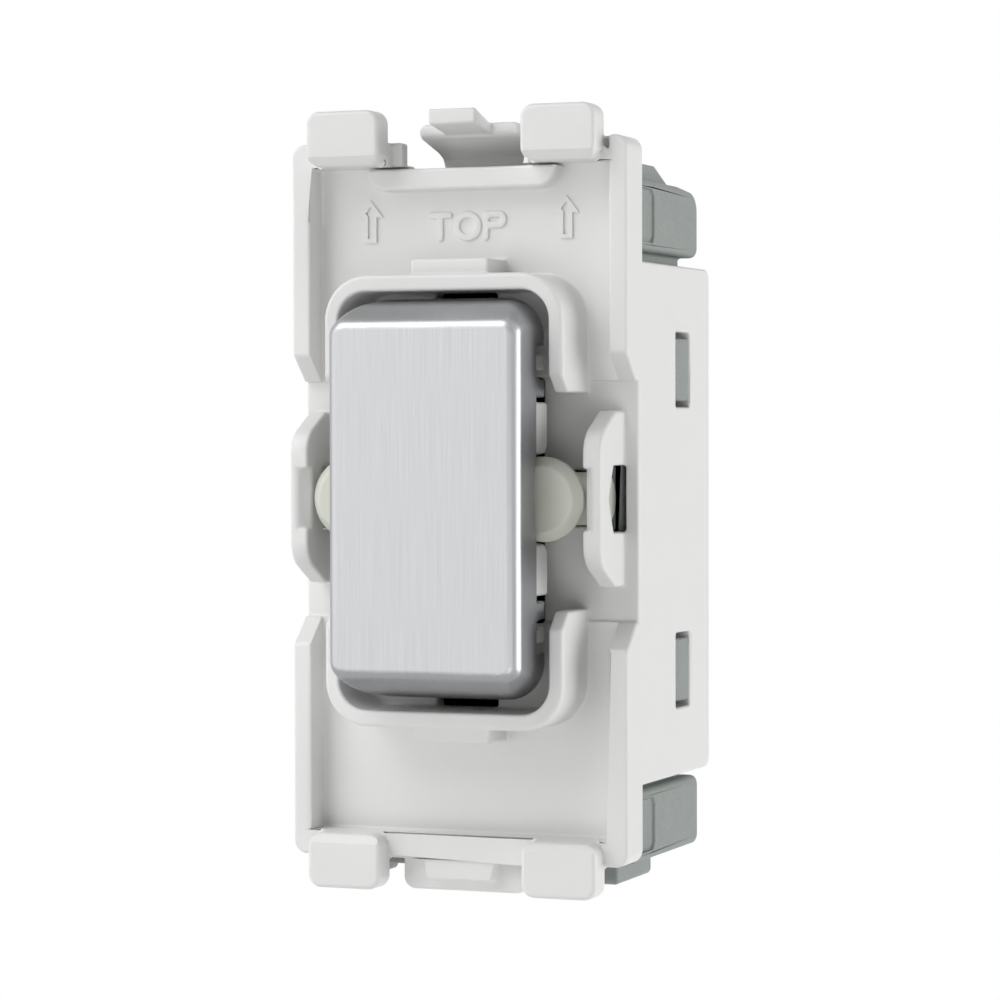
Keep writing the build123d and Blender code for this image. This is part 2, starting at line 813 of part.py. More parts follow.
def rocker_carrier():
    """White carrier that fills the cap and grips the dolly."""
    outer = cap_block(cap_sheet + carrier_fit)
    half = cap_width / 2 - cap_sheet - carrier_fit
    plate_back = cap_front + cap_sheet + carrier_fit + carrier_floor
    hollow_half = half - carrier_wall
    end_half = cap_front_height / 2 - carrier_wall
    hollow = block(-hollow_half, hollow_half, plate_back, cap_back + 3, -end_half, end_half)
    solid = outer & block(-half_width, half_width, cap_front, cap_back, -half_height, half_height)
    solid -= hollow
    side_cut = block(hollow_half - 0.1, half_width, cap_skirt_back, cap_back + 1,
                     -cap_end_skirt, cap_end_skirt)
    wings = carrier_pad(carrier_back, carrier_wing_inner, carrier_wing_outer)
    wings = chamfer(wings.edges().filter_by(Axis.X).sort_by(Axis.Z)[:2].sort_by(Axis.Y)[-1:],
                    carrier_wing_chamfer)
    heels = carrier_pad(carrier_end_back, carrier_heel_inner, carrier_heel_outer)
    inner_wall = block(hollow_half, half - carrier_step, cap_skirt_back - 0.5, carrier_wall_back,
                       carrier_wing_outer - 0.1, carrier_heel_inner + 0.1)
    roots = block(hollow_half, half - carrier_step, cap_skirt_back - 0.5, cap_skirt_back + 1,
                  carrier_wing_inner, carrier_heel_outer)
    pads = wings + heels + inner_wall + roots
    pads += other_end(pads)
    button = block(hollow_half - 0.1, half_width, cap_skirt_back - carrier_button_clearance,
                   cap_back + 1, -carrier_wing_inner, carrier_wing_inner)
    cut = side_cut + button
    solid = solid - cut - other_side(cut) + pads + other_side(pads)
    grip_inner = dolly_height / 2 + pocket_fit
    grip = block(-hollow_half - 0.1, hollow_half + 0.1, plate_back - 0.1, carrier_end_back,
                 grip_inner, grip_inner + pocket_wall)
    return solid + grip + other_end(grip)


def dolly():
    """Cream dolly: body, two round bosses, trunnions and the plunger tube."""
    plate_back = cap_front + cap_sheet + carrier_fit + carrier_floor
    body = block(-dolly_width / 2, dolly_width / 2, plate_back, dolly_back,
                 -dolly_height / 2, dolly_height / 2)
    stem = rod_y(0, 0, stem_radius, dolly_back - 1, stem_back)
    trunnion = rod_x(pivot_depth, 0, trunnion_radius, dolly_width / 2 - 1, trunnion_reach)
    trunnion = chamfer(trunnion.edges().sort_by(Axis.X)[-1:], 0.12)
    boss = rod_y(boss_centre, 0, boss_radius, boss_front, boss_front + boss_thickness)
    boss = chamfer(boss.edges().sort_by(Axis.Y)[:1], boss_edge)
    web = block(dolly_width / 2 - 1, boss_centre + 1.6, boss_front + boss_thickness - 0.1,
                pivot_depth, -1.4, 1.4)
    side = trunnion + boss + web
    bore = rod_y(0, 0, bore_radius, bore_bottom, stem_back + 1)
    return body + stem + side + other_side(side) - bore


def plunger():
    """Spring plunger with a round tip that rides on the contact blade."""
    radius = bore_radius - slide_fit
    tip_centre = plunger_tip - plunger_tip_radius
    shank = rod_y(0, 0, radius, plunger_shoulder, tip_centre - 0.6)
    tip = rod_y(0, 0, plunger_tip_radius, tip_centre - 0.7, tip_centre)
    tip += Pos(0, tip_centre, 0) * Sphere(plunger_tip_radius)
    pin = rod_y(0, 0, plunger_pin_radius, plunger_shoulder - plunger_pin_length,
                plunger_shoulder + 0.1)
    return shank + tip + pin


def plunger_spring():
    """Compression spring between the bottom of the bore and the plunger."""
    length = plunger_shoulder - bore_bottom - spring_wire
    helix = Helix(length / spring_turns, length, spring_radius)
    wire = Plane(origin=helix @ 0, z_dir=helix % 0) * Circle(spring_wire / 2)
    coil = sweep(wire, helix)
    return Pos(0, plunger_shoulder - spring_wire / 2, 0) * Rot(90, 0, 0) * coil


def contact_blade():
    """See-saw blade: a shallow seat for the plunger in front, a pivot groove behind."""
    half = blade_length / 2
    seat = blade_seat_height / 2
    gap = running_gap
    tilt = math.radians(blade_seat_angle)
    tip_centre = plunger_tip - plunger_tip_radius
    seat_bottom = tip_centre + (plunger_tip_radius + gap) / math.cos(tilt)
    seat_top = seat_bottom - seat * math.tan(tilt)
    groove = blade_pivot_depth - gap
    groove_half = (blade_back - groove) * math.tan(math.radians(groove_angle))
    outline = [
        (seat_bottom, 0), (seat_top, seat), (seat_top, seat + 0.7), (blade_front, seat + 1.2),
        (blade_front, half), (blade_back, half), (blade_back, groove_half), (groove, 0),
        (blade_back, -groove_half), (blade_back, -half), (blade_front, -half),
        (blade_front, -seat - 1.2), (seat_top, -seat - 0.7), (seat_top, -seat),
    ]
    return side_prism(outline, -blade_width / 2, blade_width / 2)


def moving_contact(side):
    """Silver contact on the back of one end of the blade."""
    solid = rod_y(0, side * contact_centre, moving_contact_radius, blade_back,
                  blade_back + moving_contact_thickness)
    return chamfer(solid.edges().sort_by(Axis.Y)[-1:], 0.15)


def fixed_contact(side):
    """Domed silver contact on one fixed strip."""
    solid = rod_y(0, side * contact_centre, fixed_contact_radius, fixed_contact_front,
                  strip_front)
    dome = Pos(0, fixed_contact_front + contact_dome, side * contact_centre) * Sphere(contact_dome)
    return solid & dome


def strip_tail(side, screw_height, outward, start):
    """Strip from the back wall of the cavity, up a step and along to a terminal."""
    middle = side * terminal_centre
    half = strip_width / 2
    rise = outward * strip_rise_start
    rise_end = rise + outward * strip_thickness
    end = screw_height - outward * (screw_radius + 0.7)
    low, high = sorted((outward * start, rise_end))
    run = block(middle - half, middle + half, strip_front, strip_back, low, high)
    low, high = sorted((rise, rise_end))
    riser = block(middle - half, middle + half, strip_step_front, strip_back, low, high)
    low, high = sorted((rise, end))
    reach = block(middle - half, middle + half, strip_step_front, strip_step_back, low, high)
    return run + riser + reach


def fixed_strip(screw_height, outward):
    """Brass strip that joins one fixed contact to its terminal."""
    inner = contact_centre - contact_pad_height / 2
    low, high = sorted((outward * inner, outward * (inner + contact_pad_height)))
    pad = block(-terminal_centre - strip_width / 2, contact_pad_reach, strip_front, strip_back,
                low, high)
    return pad + strip_tail(-1, screw_height, outward, inner)


def fulcrum_bracket():
    """Common bracket: a knife edge between two ears, and the strip to its terminal."""
    half = bracket_width / 2
    high = bracket_height / 2
    plate = block(-half, terminal_centre + strip_width / 2, strip_front, strip_back, -high, high)
    knife_front = blade_pivot_depth + running_gap
    spread = knife_thickness / 2
    shoulder = knife_front + spread / math.tan(math.radians(knife_angle))
    knife = side_prism([(knife_front, 0), (shoulder, spread), (strip_front + 0.1, spread),
                        (strip_front + 0.1, -spread), (shoulder, -spread)],
                       -half + 0.1, half - 0.1)
    ear_plate = block(half - bracket_ear, half, bracket_ear_front, strip_front + 0.1, -high, high)
    ears = ear_plate + other_side(ear_plate)
    cradle = Pos(0, 0, pivot_height) * (plate + knife + ears)
    return cradle + strip_tail(1, upper_screw, 1, 0)


def terminal(side, screw_height, outward):
    """Brass terminal with a bore for the wires and a tapped hole for its screw."""
    middle = side * terminal_centre
    outer = screw_height + outward * terminal_margin
    low, high = sorted((outer, outer - outward * terminal_height))
    solid = block(middle - terminal_width / 2, middle + terminal_width / 2, terminal_front,
                  strip_step_front, low, high)
    wires = rod_z(middle, wire_bore_depth, wire_bore_radius, low - 1, high + 1)
    tapped = rod_y(middle, screw_height, screw_radius + screw_thread_fit, wire_bore_depth,
                   strip_step_front + 1)
    return solid - wires - tapped


def terminal_screw(side, screw_height):
    """Slotted terminal screw, backed out, reached from behind."""
    middle = side * terminal_centre
    solid = rod_y(middle, screw_height, screw_radius, screw_tip, screw_back)
    solid = chamfer(solid.edges().sort_by(Axis.Y)[:1], 0.3)
    slot = block(middle - screw_radius - 1, middle + screw_radius + 1,
                 screw_back - screw_slot_depth, screw_back + 1,
                 screw_height - screw_slot / 2, screw_height + screw_slot / 2)
    return solid - slot


def parts():
    """Every piece of the switch, by name."""
    lift = Pos(0, 0, pivot_height)
    return {
        "front_frame": front_frame(),
        "rear_base": base(),
        "rocker_cap": lift * rocker_cap(),
        "rocker_carrier": lift * rocker_carrier(),
        "rocker_dolly": lift * dolly(),
        "plunger": lift * plunger(),
        "plunger_spring": lift * plunger_spring(),
        "contact_blade": lift * contact_blade(),
        "moving_contact_upper": lift * moving_contact(1),
        "moving_contact_lower": lift * moving_contact(-1),
        "fixed_contact_upper": lift * fixed_contact(1),
        "fixed_contact_lower": lift * fixed_contact(-1),
        "fixed_strip_upper": fixed_strip(upper_screw, 1),
        "fixed_strip_lower": fixed_strip(lower_screw, -1),
        "fulcrum_bracket": fulcrum_bracket(),
        "terminal_upper": terminal(-1, upper_screw, 1),
        "terminal_lower": terminal(-1, lower_screw, -1),
        "terminal_common": terminal(1, upper_screw, 1),
        "screw_upper": terminal_screw(-1, upper_screw),
        "screw_lower": terminal_screw(-1, lower_screw),
        "screw_common": terminal_screw(1, upper_screw),
    }


os.makedirs("parts", exist_ok=True)
for name, solid in parts().items():
    export_step(solid, os.path.join("parts", name + ".step"))
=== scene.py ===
"""Looks for a three-position rocker switch module that clips into a grid plate."""
import json
import math

import bmesh
import bpy
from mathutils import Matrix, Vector


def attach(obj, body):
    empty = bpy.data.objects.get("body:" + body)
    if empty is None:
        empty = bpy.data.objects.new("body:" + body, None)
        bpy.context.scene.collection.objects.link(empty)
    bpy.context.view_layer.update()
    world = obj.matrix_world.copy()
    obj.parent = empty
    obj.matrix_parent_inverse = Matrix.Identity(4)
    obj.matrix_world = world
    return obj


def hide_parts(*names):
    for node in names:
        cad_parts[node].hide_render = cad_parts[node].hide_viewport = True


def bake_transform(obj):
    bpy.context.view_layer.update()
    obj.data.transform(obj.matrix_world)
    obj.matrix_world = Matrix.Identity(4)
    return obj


bl_info = {
    "name": "Grid switch",
    "version": (1, 0, 0),
    "blender": (4, 5, 0),
    "location": "View3D > Sidebar > Grid switch",
    "description": "Dresses the packed grid switch model",
    "category": "Object",
}

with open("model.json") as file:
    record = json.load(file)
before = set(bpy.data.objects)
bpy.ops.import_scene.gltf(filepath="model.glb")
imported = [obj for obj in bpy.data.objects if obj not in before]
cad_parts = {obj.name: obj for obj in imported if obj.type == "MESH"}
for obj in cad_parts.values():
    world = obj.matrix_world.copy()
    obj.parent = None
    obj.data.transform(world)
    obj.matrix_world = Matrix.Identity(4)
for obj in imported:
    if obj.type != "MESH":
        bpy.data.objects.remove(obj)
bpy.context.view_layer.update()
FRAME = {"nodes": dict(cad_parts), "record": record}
MM = 0.001

# Rounding of edges, on copies of the CAD nodes
SHARP_ANGLE = math.radians(35)
FLAT_ANGLE = math.radians(1)
MERGE_DISTANCE = 0.002 * MM
SHORTEST_EDGE = 0.01 * MM
ROUNDING_ROOM = 1.1
ROUNDING_SEGMENTS = 3
STRAIGHT_ON = -0.9

# Lettering on the front frame
LETTER_CUT = 18.7 * MM
LETTER_FRONT = 1.8 * MM
LETTER_BACK = 2.05 * MM
ARROW_INNER = 5.9 * MM
ARROW_WIDTH = 2.3 * MM
ARROW_HEIGHTS = (17.2 * MM, 20.5 * MM)

# Bulge in the sloped ends of the steel cap
PIVOT_HEIGHT = 0.17 * MM
CAP_HALF_HEIGHT = 13.25 * MM
BULGE = 0.37 * MM
BULGE_FRONT = -5.9 * MM
BULGE_BACK = -1.9 * MM
BULGE_CUTS = 9
DEPTH_STEP = 0.02 * MM

# Brush lines in the steel: a squeeze under 1 draws the pattern out along Z
BRUSH_SQUEEZE = 0.012
BRUSH_DEPTH = 0.01 * MM

# Rolling and turning marks in the other metals, drawn out in the same way
MARK_PITCH = 0.3 * MM
MARK_SQUEEZE = 0.2
MARK_DEPTH = 0.01 * MM

# Broad clouds in a moulding: their size in grains and their share of the mottle
CLOUD_SIZE = 14
CLOUD_SHARE = 0.35

# Stage, in metres and watts
FLOOR_SIZE = 6.0
WHITE_STRENGTH = 1.0
TENT_STRENGTH = 0.08
LAMPS = (
    ("lamp_left", (-0.90, -0.80, 0.0), 2.0, 13.2),
    ("lamp_upper", (-0.50, -0.59, 0.92), 0.9, 8.0),
    ("lamp_lower", (0.30, -0.88, -0.42), 0.7, 3.0),
    ("lamp_right", (0.97, 0.26, 0.0), 0.9, 7.8),
)

# Camera: its place in metres, its turn in degrees, and its lens and sensor in millimetres
CAMERA_PLACE = (0.0860003, -0.2121010, 0.0047824)
CAMERA_TURN = (88.8149, 0.0984, 21.3548)
CAMERA_LENS = 123.85
CAMERA_SENSOR = 36.0
CAMERA_NEAR = 0.01


class SwitchSizes(bpy.types.PropertyGroup):
    """Sizes that shape the look of the switch."""

    soft_edge: bpy.props.FloatProperty(
        name="Soft edge", description="Radius of the rounding along moulded edges",
        default=0.20 * MM, min=0.0, max=MM, subtype="DISTANCE", unit="LENGTH", precision=5)
    fine_edge: bpy.props.FloatProperty(
        name="Fine edge", description="Radius of the rounding where a moulded form is small",
        default=0.07 * MM, min=0.0, max=MM, subtype="DISTANCE", unit="LENGTH", precision=5)
    stamped_edge: bpy.props.FloatProperty(
        name="Stamped edge", description="Radius of the rounding along stamped metal edges",
        default=0.06 * MM, min=0.0, max=MM, subtype="DISTANCE", unit="LENGTH", precision=5)
    brush_pitch: bpy.props.FloatProperty(
        name="Brush line pitch", description="Distance between the brush lines of the steel",
        default=0.09 * MM, min=0.02 * MM, max=MM, subtype="DISTANCE", unit="LENGTH", precision=5)
    grain_pitch: bpy.props.FloatProperty(
        name="Grain pitch", description="Size of the grain in the grey moulding",
        default=0.22 * MM, min=0.05 * MM, max=2 * MM, subtype="DISTANCE", unit="LENGTH",
        precision=5)
    floor_drop: bpy.props.FloatProperty(
        name="Floor drop", description="Height of the middle of the switch above the floor",
        default=480 * MM, min=30 * MM, max=500 * MM, subtype="DISTANCE", unit="LENGTH")


def hex_to_linear(code):
    """An sRGB hex colour such as E8E8E6 as linear red, green and blue."""
    channels = [int(code[i:i + 2], 16) / 255 for i in (0, 2, 4)]
    return tuple(c / 12.92 if c <= 0.04045 else ((c + 0.055) / 1.055) ** 2.4 for c in channels)


def colour_property(name, description, code):
    """A colour that a user may change, with its default given in hex."""
    return bpy.props.FloatVectorProperty(
        name=name, description=description, subtype="COLOR", size=3, min=0.0, max=1.0,
        default=hex_to_linear(code))


class SwitchColours(bpy.types.PropertyGroup):
    """Colours of the switch's materials."""

    white: colour_property("White moulding", "Colour of the front frame", "E2E2E1")
    carrier: colour_property("Carrier moulding", "Colour of the rocker's carrier", "DADAD8")
    grey: colour_property("Grey moulding", "Colour of the rear base", "868C89")
    dolly: colour_property("Dolly moulding", "Colour of the dolly and its bosses", "D2D4C9")
    nylon: colour_property("Nylon", "Colour of the plunger", "E2DDCC")
    steel: colour_property("Stainless steel", "Colour of the rocker's face", "A3A4A6")
    brass: colour_property("Brass", "Colour of the contact strips and terminals", "C9A45C")
    silver: colour_property("Silver", "Colour of the contacts", "DEDCD6")
    plating: colour_property("Zinc plating", "Colour of the screws and the spring", "C4C7CC")
    backdrop: colour_property("Backdrop", "Colour of the floor", "FFFFFF")


def node(tree, kind, settings=None, links=None):
    """Adds one shader node, with its settings and what its inputs are linked to."""
    made = tree.nodes.new(kind)
    for key, value in (settings or {}).items():
        if key in made.inputs.keys() or isinstance(key, int):
            made.inputs[key].default_value = value
        else:
            setattr(made, key, value)
    for key, source in (links or {}).items():
        tree.links.new(source, made.inputs[key])
    return made


def new_material(name):
    """An empty node material and its tree."""
    material = bpy.data.materials.new(name)
    material.use_nodes = True
    material.node_tree.nodes.clear()
    return material, material.node_tree


def finish_material(tree, shader):
    """Links a shader to the material's output."""
    node(tree, "ShaderNodeOutputMaterial", links={"Surface": shader.outputs[0]})


def object_coordinates(tree, stretch):
    """Object coordinates, scaled along each axis."""
    place = node(tree, "ShaderNodeTexCoord")
    return node(tree, "ShaderNodeMapping", {"Scale": stretch}, {"Vector": place.outputs["Object"]})


def set_stops(ramp, *stops):
    """Sets a colour ramp's stops, each given as its position and its linear colour."""
    for element, (position, colour) in zip(ramp.color_ramp.elements, stops):
        element.position = position
        element.color = (*colour, 1)


def shade(colour, factor):
    """A linear colour made darker or lighter."""
    return tuple(min(1.0, channel * factor) for channel in colour)


def moulded_material(name, colour, roughness, grain, grain_depth, mottle, ior):
    """A moulded thermoplastic: a fine grain in relief and a faint mottle in its colour."""
    material, tree = new_material(name)
    place = object_coordinates(tree, (1, 1, 1))
    fine = node(tree, "ShaderNodeTexNoise", {"Scale": 1 / grain, "Detail": 3.0, "Roughness": 0.6},
                {"Vector": place.outputs[0]})
    broad = node(tree, "ShaderNodeTexNoise", {"Scale": 1 / (grain * CLOUD_SIZE), "Detail": 2.0},
                 {"Vector": place.outputs[0]})
    blend = node(tree, "ShaderNodeMix", {"data_type": "FLOAT", 0: CLOUD_SHARE},
                 {2: fine.outputs[0], 3: broad.outputs[0]})
    ramp = node(tree, "ShaderNodeValToRGB", links={"Fac": blend.outputs[0]})
    set_stops(ramp, (0.3, shade(colour, 1 - mottle)), (0.7, shade(colour, 1 + mottle)))
    bump = node(tree, "ShaderNodeBump", {"Strength": 0.35, "Distance": grain_depth},
                {"Height": fine.outputs[0]})
    shine = node(tree, "ShaderNodeMapRange", {3: roughness - 0.05, 4: roughness + 0.05},
                 {0: broad.outputs[0]})
    shader = node(tree, "ShaderNodeBsdfPrincipled", {"IOR": ior},
                  {"Base Color": ramp.outputs[0], "Roughness": shine.outputs[0],
                   "Normal": bump.outputs[0]})
    finish_material(tree, shader)
    return material


def brushed_steel(name, colour, pitch, soft):
    """Stainless steel sheet, brushed along Z: long fine lines in tone, gloss and relief."""
    material, tree = new_material(name)
    place = object_coordinates(tree, (1, 1, BRUSH_SQUEEZE))
    lines = node(tree, "ShaderNodeTexNoise", {"Scale": 1 / pitch, "Detail": 4.0,
                                              "Roughness": 0.65}, {"Vector": place.outputs[0]})
    ramp = node(tree, "ShaderNodeValToRGB", links={"Fac": lines.outputs[0]})
    set_stops(ramp, (0.25, shade(colour, 0.86)), (0.75, shade(colour, 1.06)))
    shine = node(tree, "ShaderNodeMapRange", {3: 0.30, 4: 0.42}, {0: lines.outputs[0]})
    edge = node(tree, "ShaderNodeBevel", {"Radius": soft, "samples": 4})
    bump = node(tree, "ShaderNodeBump", {"Strength": 0.18, "Distance": BRUSH_DEPTH},
                {"Height": lines.outputs[0], "Normal": edge.outputs[0]})
    shader = node(tree, "ShaderNodeBsdfPrincipled", {"Metallic": 1.0},
                  {"Base Color": ramp.outputs[0], "Roughness": shine.outputs[0],
                   "Normal": bump.outputs[0]})
    finish_material(tree, shader)
    return material


def metal_material(name, colour, roughness, soft):
    """Stamped or turned metal with faint rolling marks."""
    material, tree = new_material(name)
    place = object_coordinates(tree, (1, 1, MARK_SQUEEZE))
    marks = node(tree, "ShaderNodeTexNoise", {"Scale": 1 / MARK_PITCH, "Detail": 3.0},
                 {"Vector": place.outputs[0]})
    ramp = node(tree, "ShaderNodeValToRGB", links={"Fac": marks.outputs[0]})
    set_stops(ramp, (0.3, shade(colour, 0.9)), (0.7, colour))
    shine = node(tree, "ShaderNodeMapRange", {3: roughness - 0.06, 4: roughness + 0.08},
                 {0: marks.outputs[0]})
    edge = node(tree, "ShaderNodeBevel", {"Radius": soft, "samples": 4})
    bump = node(tree, "ShaderNodeBump", {"Strength": 0.12, "Distance": MARK_DEPTH},
                {"Height": marks.outputs[0], "Normal": edge.outputs[0]})
    shader = node(tree, "ShaderNodeBsdfPrincipled", {"Metallic": 1.0},
                  {"Base Color": ramp.outputs[0], "Roughness": shine.outputs[0],
                   "Normal": bump.outputs[0]})
    finish_material(tree, shader)
    return material


def dress(name, material):
    """Gives a CAD node its material."""
    materials = FRAME["nodes"][name].data.materials
    materials.clear()
    materials.append(material)


def record_entry(name):
    """The body a CAD node belongs to and its material slot, from the record."""
    record = FRAME["record"]
    body = next(body for body, nodes in record["behaviour"]["bodies"].items() if name in nodes)
    slot = next(row["material_slot"] for row in record["subparts"] if row["node"] == name)
    return body, slot


def copy_of(name, ending, material):
    """A new piece with its own copy of a CAD node's mesh, in the given material."""
    piece = bpy.data.objects.new(name + ending, FRAME["nodes"][name].data.copy())
    bpy.context.scene.collection.objects.link(piece)
    piece.data.materials.clear()
    piece.data.materials.append(material)
    return piece


def work_on(piece):
    """Makes a piece the only selected object and the active one."""
    bpy.ops.object.select_all(action="DESELECT")
    piece.select_set(True)
    bpy.context.view_layer.objects.active = piece


def runs_on(edge, corner, other):
    """Whether the other edge carries on in nearly the same direction past the corner."""
    first = edge.other_vert(corner).co - corner.co
    second = other.other_vert(corner).co - corner.co
    return first.normalized().dot(second.normalized()) < STRAIGHT_ON


def on_arrow(edge):
    """Whether an edge belongs to a raised arrow, whose outline is too thin to round."""
    middle = (edge.verts[0].co + edge.verts[1].co) / 2
    low, high = ARROW_HEIGHTS
    return (ARROW_INNER < abs(middle.x) < ARROW_INNER + ARROW_WIDTH
            and low < middle.z < high and LETTER_FRONT < middle.y < LETTER_BACK)


def select_sharp(piece, width):
    """Selects the sharp edges that have room beside them for a rounding of this width."""
    mesh = bmesh.from_edit_mesh(piece.data)
    sharp = {edge for edge in mesh.edges
             if len(edge.link_faces) == 2 and edge.calc_face_angle(0) > SHARP_ANGLE
             and not on_arrow(edge)}
    room = width * ROUNDING_ROOM

    def has_room(edge):
        """Whether no short edge stands in the way at either end."""
        for corner in edge.verts:
            for other in corner.link_edges:
                if other is edge or other.calc_length() > room:
                    continue
                if not (other in sharp and runs_on(edge, corner, other)):
                    return False
        return True

    for edge in mesh.edges:
        edge.select = edge in sharp and has_room(edge)
    mesh.select_flush_mode()
    bmesh.update_edit_mesh(piece.data)


def bulge_ends(piece):
    """Bulges the cap's sloped ends outward, as drawn sheet does.

    The cap is cut at even depths, and all of it is then stretched along Z by an amount
    that depends only on the depth.
    """
    length = BULGE_BACK - BULGE_FRONT
    for step in range(BULGE_CUTS + 1):
        bpy.ops.mesh.select_all(action="SELECT")
        bpy.ops.mesh.bisect(plane_co=(0, BULGE_FRONT + length * step / BULGE_CUTS, 0),
                            plane_no=(0, 1, 0))
    mesh = bmesh.from_edit_mesh(piece.data)
    layers = sorted({round(point.co.y / DEPTH_STEP) for point in mesh.verts})
    for layer in layers:
        share = (layer * DEPTH_STEP - BULGE_FRONT) / length
        if not 0 < share < 1:
            continue
        for point in mesh.verts:
            point.select_set(round(point.co.y / DEPTH_STEP) == layer)
        bmesh.update_edit_mesh(piece.data)
        stretch = 1 + BULGE * math.sin(math.pi * share) / CAP_HALF_HEIGHT
        bpy.ops.transform.resize(value=(1, 1, stretch), center_override=(0, 0, PIVOT_HEIGHT))


def softened(name, material, widths, split_height=None, shape=None):
    """Puts a copy with rounded edges in a CAD node's place.

    A flat face with several holes in it can't be one polygon. Where a node has one, it is
    first cut at a height that runs through every hole, and the cut is kept.
    """
    piece = copy_of(name, "_soft", material)
    work_on(piece)
    bpy.ops.mesh.customdata_custom_splitnormals_clear()
    bpy.ops.object.mode_set(mode="EDIT")
    bpy.ops.mesh.select_mode(type="EDGE")
    bpy.ops.mesh.select_all(action="SELECT")
    bpy.ops.mesh.remove_doubles(threshold=MERGE_DISTANCE)
    if split_height is not None:
        bpy.ops.mesh.bisect(plane_co=(0, 0, split_height), plane_no=(0, 0, 1))
        bpy.ops.mesh.mark_seam(clear=False)
        bpy.ops.mesh.select_all(action="SELECT")
    bpy.ops.mesh.dissolve_limited(angle_limit=FLAT_ANGLE, delimit={"SEAM"})
    bpy.ops.mesh.dissolve_degenerate(threshold=SHORTEST_EDGE)
    if shape is not None:
        bpy.ops.mesh.select_mode(type="VERT")
        shape(piece)
        bpy.ops.mesh.select_mode(type="EDGE")
    for width in widths:
        bpy.ops.mesh.select_all(action="DESELECT")
        select_sharp(piece, width)
        bpy.ops.mesh.bevel(offset=width, segments=ROUNDING_SEGMENTS, profile=0.5,
                           affect="EDGES", clamp_overlap=False)
    bpy.ops.object.mode_set(mode="OBJECT")
    bpy.ops.object.shade_smooth_by_angle(angle=SHARP_ANGLE)
    weigh = piece.modifiers.new("weighted normals", "WEIGHTED_NORMAL")
    weigh.keep_sharp = True
    bpy.ops.object.modifier_apply(modifier=weigh.name)
    body, slot = record_entry(name)
    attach(piece, body)
    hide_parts(name)


def shortening_spring(material):
    """Puts a copy of the spring in its place, with its placement baked into the mesh."""
    piece = copy_of("plunger_spring", "_coil", material)
    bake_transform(piece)
    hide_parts("plunger_spring")


class GRIDSWITCH_OT_mouldings(bpy.types.Operator):
    """Dress the front frame, the rear base, the carrier, the dolly and the plunger."""

    bl_idname = "gridswitch.mouldings"
    bl_label = "Mouldings"

    def execute(self, context):
        sizes = context.scene.switch_sizes
        colours = context.scene.switch_colours
        edges = (sizes.soft_edge, sizes.fine_edge)
        # Moulded in a lightly etched tool: an even white with soft, broad highlights. The
        # grain is drawn coarser than the real one, so that it shows.
        white = moulded_material("moulded satin polycarbonate", colours.white,
                                 roughness=0.45, grain=0.10 * MM, grain_depth=0.004 * MM,
                                 mottle=0.012, ior=1.58)
        softened("front_frame", white, edges, split_height=LETTER_CUT)
        # The same plastic from a smoother tool: a little darker and glossier.
        carrier = moulded_material("moulded smooth polycarbonate", colours.carrier,
                                   roughness=0.42, grain=0.10 * MM, grain_depth=0.004 * MM,
                                   mottle=0.012, ior=1.58)
        softened("rocker_carrier", carrier, edges)
        # Mineral powder in the melt reaches the surface: a dull, speckled grey.
        grey = moulded_material("moulded mineral filled nylon", colours.grey,
                                roughness=0.55, grain=sizes.grain_pitch,
                                grain_depth=0.02 * MM, mottle=0.13, ior=1.54)
        softened("rear_base", grey, edges)
        # Moulded in a polished tool, because it slides: the glossiest of the mouldings.
        dolly = moulded_material("moulded polished acetal", colours.dolly, roughness=0.38,
                                 grain=0.12 * MM, grain_depth=0.004 * MM, mottle=0.015,
                                 ior=1.48)
        softened("rocker_dolly", dolly, (0.6 * sizes.soft_edge, sizes.fine_edge))
        # Left without pigment: a warm, waxy cream.
        nylon = moulded_material("moulded natural nylon", colours.nylon, roughness=0.40,
                                 grain=0.12 * MM, grain_depth=0.004 * MM, mottle=0.015,
                                 ior=1.48)
        dress("plunger", nylon)
        return {"FINISHED"}


class GRIDSWITCH_OT_rocker_cap(bpy.types.Operator):
    """Dress the steel cap of the rocker."""

    bl_idname = "gridswitch.rocker_cap"
    bl_label = "Rocker cap"

    def execute(self, context):
        sizes = context.scene.switch_sizes
        # Drawn from sheet and brushed along its length: fine upright lines, which blur the
        # highlight. They are drawn coarser than the real ones, so that they show.
        steel = brushed_steel("brushed stainless steel", context.scene.switch_colours.steel,
                              sizes.brush_pitch, sizes.stamped_edge)
        softened("rocker_cap", steel, (2 * sizes.stamped_edge,), shape=bulge_ends)
        return {"FINISHED"}


class GRIDSWITCH_OT_metalwork(bpy.types.Operator):
    """Dress the contacts, strips, terminals and screws, and make the spring."""

    bl_idname = "gridswitch.metalwork"
    bl_label = "Metalwork"

    def execute(self, context):
        soft = context.scene.switch_sizes.stamped_edge
        colours = context.scene.switch_colours
        # Rolled and stamped: a warm yellow metal with faint marks and a satin gloss.
        brass = metal_material("rolled brass", colours.brass, 0.34, soft)
        for name in ("contact_blade", "fixed_strip_upper", "fixed_strip_lower",
                     "fulcrum_bracket", "terminal_upper", "terminal_lower", "terminal_common"):
            dress(name, brass)
        # Pressed as small buttons: pale, and smoother than the brass that carries them.
        silver = metal_material("pressed silver alloy", colours.silver, 0.28, soft)
        for name in ("moving_contact_upper", "moving_contact_lower", "fixed_contact_upper",
                     "fixed_contact_lower"):
            dress(name, silver)
        # Turned or drawn and then plated: a bright, slightly blue grey.
        plating = metal_material("zinc plated steel", colours.plating, 0.30, soft)
        for name in ("screw_upper", "screw_lower", "screw_common"):
            dress(name, plating)
        shortening_spring(plating)
        return {"FINISHED"}


